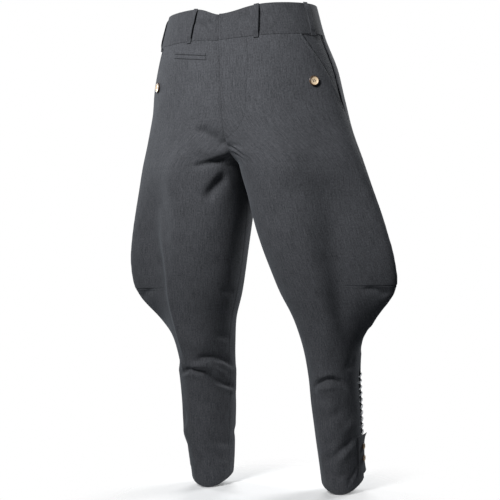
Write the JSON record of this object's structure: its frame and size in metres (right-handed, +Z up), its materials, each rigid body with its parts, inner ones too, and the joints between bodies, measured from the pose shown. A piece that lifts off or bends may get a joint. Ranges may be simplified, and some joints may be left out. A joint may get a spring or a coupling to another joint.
{
  "type": "jodhpurs (riding breeches), in their worn hollow form",
  "caption": "Riding breeches in dark wool twill with flared wings, slanted buttoned pockets, a watch pocket, belt loops and laced calves, in the hollow form they have when worn.",
  "frame": {"origin": "centre of the waist opening, level with the waistband's top edge at the sides", "axes": "+X to the wearer's left, -Y to the front, +Z up"},
  "size_m": [0.5844, 0.2524, 0.9711],
  "materials": {
    "twill": "dark slate grey wool twill, soft nap",
    "band_twill": "the same twill, two layers, pressed",
    "button": "cream and brown horn, semi-gloss",
    "lace": "white braided cotton cord"
  },
  "bodies": {
    "root": {"front_left": "twill", "front_right": "twill", "back_left": "twill", "back_right": "twill", "hip_left": "twill", "hip_right": "twill", "waistband_left": "band_twill", "waistband_right": "band_twill", "belt_loop_front_left": "band_twill", "belt_loop_front_right": "band_twill", "belt_loop_side_left": "band_twill", "belt_loop_side_right": "band_twill", "belt_loop_back": "band_twill", "watch_welt_upper": "twill", "watch_welt_lower": "twill", "pocket_button_left": "button", "pocket_button_right": "button", "calf_tongue_left": "twill", "calf_tongue_right": "twill", "calf_lace_left": "lace", "calf_lace_right": "lace", "ankle_tab_left": "twill", "ankle_tab_right": "twill", "ankle_button_left_upper": "button", "ankle_button_left_lower": "button", "ankle_button_right_upper": "button", "ankle_button_right_lower": "button"}
  },
  "joints": []
}
